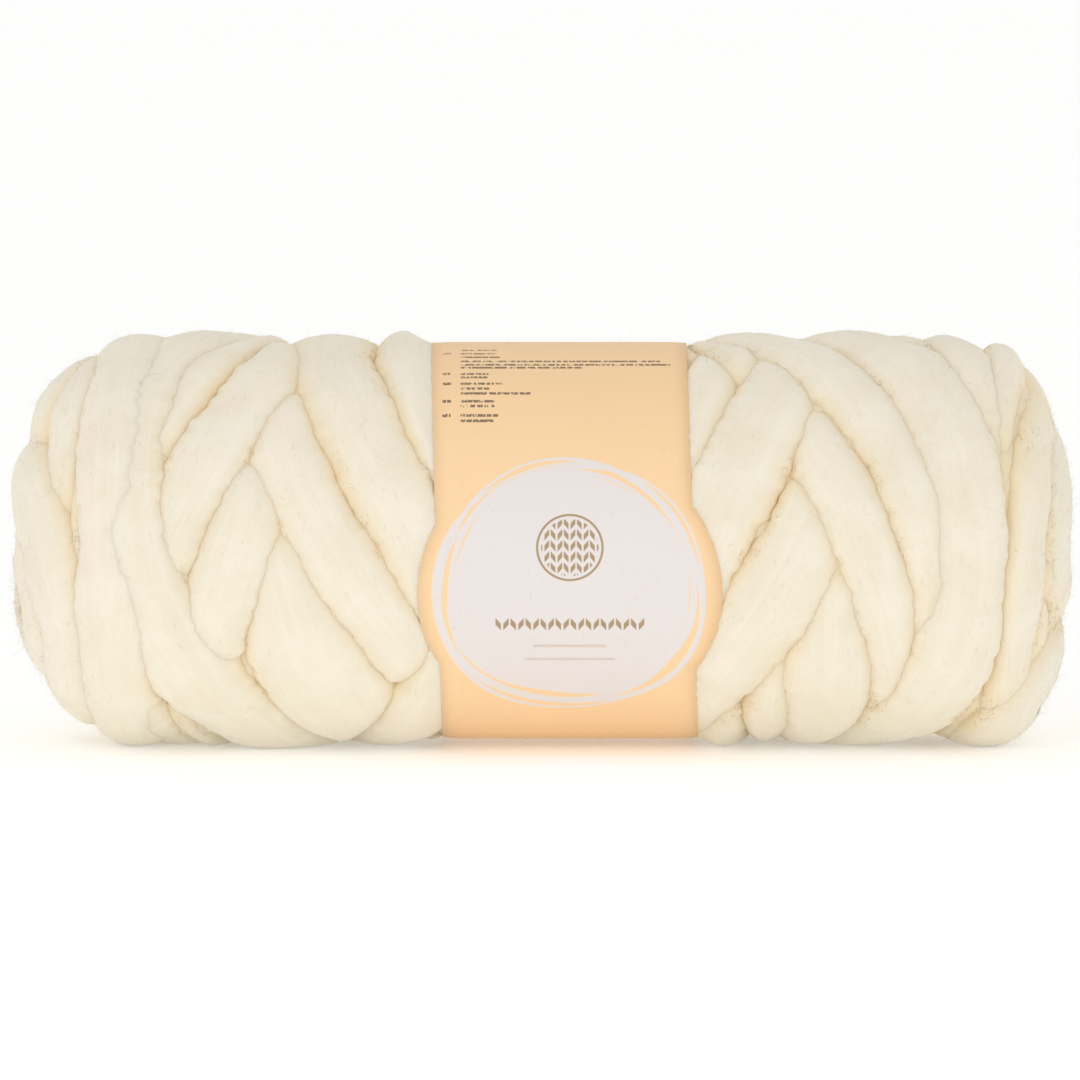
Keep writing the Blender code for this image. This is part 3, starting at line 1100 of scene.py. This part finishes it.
@dataclass
class Winding:
    """All the turns of roving, laid over one another."""

    barrel: Barrel
    band: PaperBand
    roving_height: float = 9.0 * MM
    roving_underside: float = 5.0 * MM
    roundness: float = 2.15
    sink: float = 5.2 * MM
    most_over: float = 1.15
    inner_depth: float = 9.5 * MM
    inner_gap: float = 0.02
    inner_rings: int = 90
    inner_steps: int = 72
    inner_return: float = 0.9
    # Depth that gives the inner layer its painted crease shade
    inner_painted_shade: float = 0.7
    fade_from: float = 0.55
    fade_to: float = 1.45
    depth_unit: float = 10.0 * MM
    swell: float = 0.9 * MM
    unevenness: float = 0.08 * MM
    swell_share: float = 0.4
    wander: float = 1.0 * MM
    wander_waves: tuple[int, ...] = (2, 3, 5)
    raggedness: float = 0.34 * MM
    spread: float = 0.05
    widening: float = 1.12
    swell_wavelengths: tuple[float, ...] = (130 * MM, 83 * MM, 57 * MM, 41 * MM)
    edge_wavelengths: tuple[float, ...] = (29 * MM, 17 * MM, 11 * MM, 7 * MM)
    turns: tuple[Turn, ...] = LEFT_TURNS + RIGHT_TURNS + LEFT_STRAPS + RIGHT_STRAPS + under_hoops()

    def crown(self, turn: Turn, points: Array, normals: Array) -> Array:
        """Height of a turn's crown over the barrel: its lift, less what it sinks under each turn of a
        higher level that crosses it.

        Args:
            turn: the turn.
            points: points on the barrel under it.
            normals: outward unit normals there.

        Returns:
            The height over each point.
        """
        above = np.zeros(points.shape[:-1])
        for other in self.turns:
            if other.level > turn.level:
                ratio = other.ratio(self.barrel, points, normals)
                above += other.press * (1.0 - smooth_step(self.fade_from, self.fade_to, ratio))
        return turn.lift - self.sink * np.minimum(above, self.most_over)

    def section(self, fineness: Fineness) -> tuple[Array, Array]:
        """A strand's section: a superellipse whose upper half has most of the steps.

        Args:
            fineness: how many steps it has.

        Returns:
            How far across and how high each corner lies, from -1 to 1.
        """
        over = np.linspace(0.0, math.pi, fineness.above + 1)[:-1]
        under = np.linspace(math.pi, FULL_TURN, fineness.below + 1)[:-1]
        angle = np.concatenate([over, under])
        power = 2.0 / self.roundness
        cosine, sine = np.cos(angle), np.sin(angle)
        return np.sign(cosine) * np.abs(cosine) ** power, np.sign(sine) * np.abs(sine) ** power

    def strand(self, turn: Turn) -> tuple[Array, dict[str, Array]]:
        """The soft tube of one turn: a superellipse carried along the turn's line, with its upper half
        on the crown's height, so that it swells and sinks with its neighbours.

        Args:
            turn: the turn.

        Returns:
            The grid of points, and each point's place along the strand and depth in the winding.
        """
        fineness = HIDDEN if turn.level == 0 else SHOWN
        line, swell, edges = self.wandering(turn, fineness.along)
        ahead = np.roll(line, -1, axis=0) - np.roll(line, 1, axis=0)
        ahead /= np.linalg.norm(ahead, axis=1, keepdims=True)
        side = np.cross(self.barrel.normal(line), ahead)
        side /= np.linalg.norm(side, axis=1, keepdims=True)
        across, rise = self.section(fineness)
        half = 0.5 * self.widening * turn.width * (1.0 + self.spread * swell)
        ragged = np.where(across > 0, edges[:, :1], edges[:, 1:]) * self.raggedness
        reach = half[:, None] * across + ragged * across
        feet = self.barrel.settle(line[:, None] + side[:, None] * reach[..., None])
        normals = self.barrel.normal(feet)
        lifted = np.where(rise > 0, rise * self.roving_height, rise * self.roving_underside)
        depth = self.crown(turn, feet, normals) - self.roving_height + lifted[None]
        uneven = np.random.default_rng(len(turn.name)).normal(0.0, self.unevenness, reach.shape)
        height = depth + self.swell * swell[:, None] * np.maximum(rise, 0.0) + uneven
        points = feet + normals * (height - self.barrel.hollow(feet))[..., None]
        radius = np.hypot(points[..., 1], points[..., 2])
        points[..., 1:] *= (np.minimum(radius, self.band.wool_limit(points)) / radius)[..., None]
        points[..., 2] = np.maximum(points[..., 2] + self.barrel.axis_height, 0.0)
        return points, {"strand_run": self.run(turn, line, reach, rise),
                        "strand_depth": np.clip(-depth / self.depth_unit, 0.0, 2.0)}

    def wandering(self, turn: Turn, count: int) -> tuple[Array, Array, Array]:
        """The turn's line with a slow seeded sideways wander, a swelling from -1 to 1 along it, and
        how its two edges waver: each is a sum of sines.

        Args:
            turn: the turn.
            count: how many points.

        Returns:
            The line's points, the swelling at each, and the waver of the two edges at each.
        """
        line = turn.path(self.barrel, count)
        random = np.random.default_rng(sum(turn.name.encode()))
        share = np.arange(count) / count * FULL_TURN
        shift, swell, edges = np.zeros(count), np.zeros(count), np.zeros((count, 2))
        length = np.linalg.norm(np.roll(line, -1, axis=0) - line, axis=1).sum()
        for waves in self.wander_waves:
            shift += np.sin(waves * share + random.uniform(0, FULL_TURN)) / waves
        for wavelength in self.swell_wavelengths:
            waves = max(1, round(length / wavelength))
            swell += self.swell_share * np.sin(waves * share + random.uniform(0, FULL_TURN))
        for wavelength in self.edge_wavelengths:
            waves = max(1, round(length / wavelength))
            edges += np.sin(waves * share[:, None] + random.uniform(0, FULL_TURN, 2))
        aside = turn.plane(self.barrel) * self.wander
        return self.barrel.settle(line + shift[:, None] * aside), swell, edges

    def run(self, turn: Turn, line: Array, reach: Array, rise: Array) -> Array:
        """Place on the strand: a circle as long as the strand, so that it closes, and a distance
        across it, which goes on growing down its sides.

        Args:
            turn: the turn, which shifts the circle so that no two strands look alike.
            line: the points of its middle.
            reach: how far to the side of it each corner lies.
            rise: how high each corner lies, from -1 to 1.

        Returns:
            The place of each corner.
        """
        count = len(line)
        length = np.linalg.norm(np.roll(line, -1, axis=0) - line, axis=1).sum()
        share = np.arange(count) / count * FULL_TURN
        circle = length / FULL_TURN
        down = (1.0 - np.maximum(rise, 0.0)) * self.roving_height * np.sign(reach)
        return np.stack(np.broadcast_arrays(circle * np.cos(share)[:, None] + turn.level,
                                            circle * np.sin(share)[:, None] + turn.middle,
                                            reach + down), axis=-1)

    def inner_layer(self) -> tuple[Array, dict[str, Array]]:
        """The wool under all the turns: the barrel's outline, turned round the axis and drawn in by
        a depth that closes the deepest pits. It goes back along a thin line beside the axis.

        Returns:
            The grid of points, and each point's place, and a fixed depth that gives it the painted crease
            shade.
        """
        polar = np.linspace(self.inner_gap, math.pi - self.inner_gap, self.inner_rings)
        spin = np.linspace(0.0, FULL_TURN, self.inner_steps + 1)[:-1]
        rays = np.stack([-np.cos(polar), np.sin(polar), 0.0 * polar], axis=1)
        outline = self.barrel.leave(np.zeros(3), rays)[:, :2]
        profile = np.concatenate([outline, outline[::-1] * np.array([1.0, self.inner_gap])])
        feet = np.stack([np.broadcast_to(profile[:, :1], (len(profile), len(spin))),
                         -profile[:, 1:] * np.cos(spin), profile[:, 1:] * np.sin(spin)], axis=-1)
        outer = feet[: len(outline)]
        drop = self.inner_depth + self.barrel.hollow(outer)
        feet[: len(outline)] = outer - self.barrel.normal(outer) * drop[..., None]
        feet[len(outline):, :, 0] *= self.inner_return
        feet[..., 2] += self.barrel.axis_height
        # Painted shade: one depth all over, so that the hidden layer takes the crease colour
        painted_shade = np.full(feet.shape[:2], self.inner_painted_shade)
        return feet, {"strand_run": feet * 1.0, "strand_depth": painted_shade}

    def build(self) -> list[bpy.types.Object]:
        """Builds every turn as its own piece.

        Returns:
            The pieces.
        """
        finish = WoolFinish().material("combed_wool")
        points, attributes = self.inner_layer()
        pieces = [Surface("inner_layer", points, attributes).build(finish)]
        for turn in self.turns:
            points, attributes = self.strand(turn)
            pieces.append(Surface(turn.name, points, attributes).build(finish))
        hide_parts("wool_skein")
        return pieces


# Where the waves begin whose crests give the clumps of fibres, along each axis
CLUMP_PHASES = np.array([1.0, 2.0, 3.0])

# Corners round a hair, so that one triangle closes each of its ends
HAIR_SIDES = 3

# A direction that no hair runs along exactly, from which each hair's section is turned
ASKEW = np.array([0.31, 0.22, 0.93])


@dataclass
class Fibres:
    """Fibres that stand off the wool: thin tapered hairs of three sides, which start on a strand's
    surface at some range of depths, lean along it and curl away."""

    name: str
    skins: Sequence[bpy.types.Object]
    barrel: Barrel
    finish: FibreFinish
    count: int
    depths: tuple[float, float]
    lengths: tuple[float, float]
    thickness: float
    clump: float
    seed: int
    rings: int = 3
    lean: float = 0.7
    least_lean: float = 0.05
    lean_power: float = 1.6
    most_turned: float = 1.2
    curl: float = 0.9
    tip: float = 0.25
    clump_size: float = 31.0 * MM
    tries: float = 4.0
    ray_start: float = 1.0 * MM
    ray_length: float = 60.0 * MM
    lowest_root: float = 2.0 * MM
    lowest_point: float = 0.1 * MM

    def build(self) -> bpy.types.Object:
        """Builds the hairs.

        Returns:
            All the hairs as one piece.
        """
        roots, normals, along = self.roots()
        points, faces = self.hairs(roots, normals, along)
        made = mesh_object(self.name, points, faces, self.finish.material(self.name), {})
        return made

    def candidates(self, skin: bpy.types.Object) -> Array:
        """Which of a strand's faces lie at the right depth, face outwards and lie in a clump: where a
        sum of three cosines, one for each axis, is over the clump value.

        Args:
            skin: the strand.

        Returns:
            The numbers of its faces.
        """
        mesh = skin.data
        depth, corners = np.zeros(len(mesh.vertices)), np.zeros(len(mesh.loops), dtype=np.int32)
        mesh.attributes["strand_depth"].data.foreach_get("value", depth)
        mesh.loops.foreach_get("vertex_index", corners)
        centres, normals = np.zeros(3 * len(mesh.polygons)), np.zeros(3 * len(mesh.polygons))
        mesh.polygons.foreach_get("center", centres)
        mesh.polygons.foreach_get("normal", normals)
        centres, normals = centres.reshape(-1, 3), normals.reshape(-1, 3)
        wave = np.cos(FULL_TURN * centres / self.clump_size + CLUMP_PHASES).sum(axis=1)
        centres[:, 2] -= self.barrel.axis_height
        outward = (self.barrel.normal(centres) * normals).sum(axis=1)
        at_depth = depth[corners.reshape(len(centres), -1)[:, 0]]
        low, high = self.depths
        chosen = (at_depth > low) & (at_depth < high) & (outward > 0) & (wave > self.clump)
        return np.flatnonzero(chosen)

    def roots(self) -> tuple[Array, Array, Array]:
        """Seeded random places among the candidates that open air lies over: a place counts if it is
        clear of the floor, and a ray outwards from it meets nothing, or meets the outer side of the
        next strand across a crease.

        Returns:
            The places, their outward normals and the direction of their strand.
        """
        random = np.random.default_rng(self.seed)
        graph = bpy.context.evaluated_depsgraph_get()
        graph.update()
        scene = bpy.context.scene
        places, outward, along = [], [], []
        chosen = [self.candidates(skin) for skin in self.skins]
        sizes = np.array([len(faces) for faces in chosen], dtype=float)
        share = random.multinomial(int(self.count * self.tries), sizes / sizes.sum())
        for skin, faces, wanted in zip(self.skins, chosen, share):
            mesh = skin.data
            for index in random.choice(faces, wanted) if wanted else ():
                face = mesh.polygons[index]
                centre, normal = face.center, face.normal
                hit, _, facing = scene.ray_cast(graph, centre + normal * self.ray_start, normal,
                                                distance=self.ray_length)[:3]
                if (not hit or facing.dot(normal) < 0) and centre.z > self.lowest_root:
                    corners = [mesh.vertices[corner].co for corner in face.vertices]
                    places.append(centre[:])
                    outward.append(normal[:])
                    along.append((corners[-1] - corners[0]).normalized()[:])
        keep = random.permutation(len(places))[: self.count]
        return np.array(places)[keep], np.array(outward)[keep], np.array(along)[keep]

    def hairs(self, roots: Array, normals: Array, along: Array) -> tuple[Array, Array]:
        """Hairs on given places. A hair is a quadratic curve that starts along the strand, with some
        sideways and outward lean, and turns by its curl. Three corners lie round each ring, and the
        radius tapers to a fine tip.

        Args:
            roots: where the hairs start.
            normals: outward directions there.
            along: directions of the strand there.

        Returns:
            The points and the faces of all hairs.
        """
        random = np.random.default_rng(self.seed + 1)
        count = len(roots)
        side = np.cross(normals, along)
        turn = random.uniform(-self.most_turned, self.most_turned, count)[:, None]
        flow = random.choice([-1.0, 1.0], count)[:, None]
        heading = flow * (np.cos(turn) * along + np.sin(turn) * side)
        out = self.lean * random.uniform(self.least_lean, 1.0, count)[:, None] ** self.lean_power
        start = heading + normals * out
        start /= np.linalg.norm(start, axis=1, keepdims=True)
        bend = random.normal(0.0, self.curl, (count, 3))
        length = random.uniform(*self.lengths, count)[:, None, None]
        t = np.linspace(0.0, 1.0, self.rings)[None, :, None]
        line = roots[:, None] + length * (start[:, None] * t + 0.5 * bend[:, None] * t * t)
        line[..., 2] = np.maximum(line[..., 2], self.lowest_point)
        ahead = start[:, None] + bend[:, None] * t
        ahead /= np.linalg.norm(ahead, axis=2, keepdims=True)
        first = np.cross(ahead, ASKEW)
        first /= np.linalg.norm(first, axis=2, keepdims=True)
        second = np.cross(ahead, first)
        radius = 0.5 * self.thickness * (1.0 - (1.0 - self.tip) * t)
        angles = FULL_TURN * np.arange(HAIR_SIDES) / HAIR_SIDES
        ring = [line + radius * (math.cos(a) * first + math.sin(a) * second) for a in angles]
        points = np.stack(ring, axis=2).reshape(-1, 3)
        return points, self.hair_faces(count)

    def hair_faces(self, count: int) -> Array:
        """Triangles of all hairs: two for each side between rings, and one across each end.

        Args:
            count: how many hairs there are.

        Returns:
            One row of corner numbers for each triangle.
        """
        faces = [(0, 2, 1)]
        for ring in range(self.rings - 1):
            for corner in range(HAIR_SIDES):
                here = HAIR_SIDES * ring + corner
                after = HAIR_SIDES * ring + (corner + 1) % HAIR_SIDES
                faces += [(here, after, after + HAIR_SIDES), (here, after + HAIR_SIDES, here + HAIR_SIDES)]
        last = HAIR_SIDES * (self.rings - 1)
        faces.append((last, last + 1, last + 2))
        start = np.arange(count) * HAIR_SIDES * self.rings
        return (start[:, None, None] + np.array(faces)[None]).reshape(-1, 3)


# The studio


@dataclass(frozen=True)
class Studio:
    """A wide pale floor, soft even light and a long lens near table height."""

    target: Vector
    distance: float = 6.0
    elevation: float = math.radians(6.0)
    seen_width: float = 384.3 * MM
    floor_reach: float = 40.0
    world_light: float = 0.8
    floor_glow: float = 0.22
    floor_gap: float = 0.3 * MM
    floor_colour: Colour = shade(250, 250, 249)
    lamp_size: float = 1.0
    lamps: tuple[tuple[str, tuple[float, float, float], float], ...] = (
        ("left_light", (-0.8, -1.3, 0.45), 3.2), ("right_light", (0.9, -1.3, 0.25), 2.4))

    def build(self) -> None:
        """Makes the floor, the light and the camera."""
        self.floor()
        self.lights()
        self.camera()

    def floor(self) -> None:
        """A flat square, far wider than any view, that glows a little as a light table does."""
        side = np.linspace(-self.floor_reach, self.floor_reach, 3)
        x, y = np.meshgrid(side, side, indexing="ij")
        points = np.stack([x, y, np.full_like(x, -self.floor_gap)], axis=-1).reshape(-1, 3)
        start = np.array([0, 1, 3, 4])
        faces = np.stack([start, start + 3, start + 4, start + 1], axis=1)
        bench = Bench("pale_floor")
        bench.feed(bench.shader, {
            "Base Color": self.floor_colour,
            "Roughness": 0.9,
            "Specular IOR Level": 0.1,
            "Emission Color": WHITE,
            "Emission Strength": self.floor_glow,
        })
        mesh_object("floor", points, faces, bench.material, {}, body=None)

    def lights(self) -> None:
        """A white surround and two large soft lights low at the front."""
        world = bpy.data.worlds.new("studio")
        world.use_nodes = True
        surround = world.node_tree.nodes["Background"]
        surround.inputs["Color"].default_value = WHITE
        surround.inputs["Strength"].default_value = self.world_light
        bpy.context.scene.world = world
        for name, place, power in self.lamps:
            data = bpy.data.lights.new(name, "AREA")
            data.size = self.lamp_size
            data.energy = power
            lamp = bpy.data.objects.new(name, data)
            lamp.location = place
            lamp.rotation_euler = (self.target - lamp.location).to_track_quat("-Z", "Y").to_euler()
            bpy.context.scene.collection.objects.link(lamp)

    def camera(self) -> None:
        """A camera that looks at the target from the front and a little above, through a lens long
        enough to see just the stated width there. Colours stay as they are lit."""
        data = bpy.data.cameras.new("camera")
        data.lens = data.sensor_width * self.distance / self.seen_width
        seen = bpy.data.objects.new("camera", data)
        back = Vector((0.0, -math.cos(self.elevation), math.sin(self.elevation)))
        seen.location = self.target + back * self.distance
        seen.rotation_euler = (-back).to_track_quat("-Z", "Y").to_euler()
        bpy.context.scene.collection.objects.link(seen)
        bpy.context.scene.camera = seen
        bpy.context.scene.view_settings.view_transform = "Standard"


def main() -> None:
    """Builds the band, the wool, its loose fibres and the studio, in that order, and reports each
    piece."""
    logging.basicConfig(level=logging.INFO, format="%(name)s %(message)s")
    low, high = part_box("paper_band")
    axis_height = 0.5 * (low.z + high.z)
    band = PaperBand(axis_height, 0.5 * (high.z - low.z))
    sheet = band.build()
    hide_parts("paper_band")
    barrel = Barrel(axis_height)
    wool = Winding(barrel, band).build()
    strands = [piece for piece in wool if piece.name != "inner_layer"]
    loose = Fibres("loose_fibres", strands, barrel,
                   FibreFinish(shade(250, 244, 230), shade(236, 222, 196)),
                   count=9000, depths=(-1.0, 0.45), lengths=(1.2 * MM, 5.0 * MM),
                   thickness=0.09 * MM, clump=-4.0, seed=7).build()
    # Painted shade: real hairs in the creases, coloured tan and brown as they look in the creases' shade
    shaded_crease_hairs = Fibres("shaded_crease_fibres", strands, barrel,
                     FibreFinish(shade(230, 207, 163), shade(186, 154, 102)),
                     count=7000, depths=(0.3, 1.0), lengths=(0.8 * MM, 2.6 * MM),
                     thickness=0.11 * MM, clump=0.5, seed=17).build()
    for piece in (sheet, *wool, loose, shaded_crease_hairs):
        LOG.info("%s: %d faces", piece.name, len(piece.data.polygons))
    Studio(Vector((0.0, 0.0, axis_height))).build()


if __name__ == "__main__":
    main()
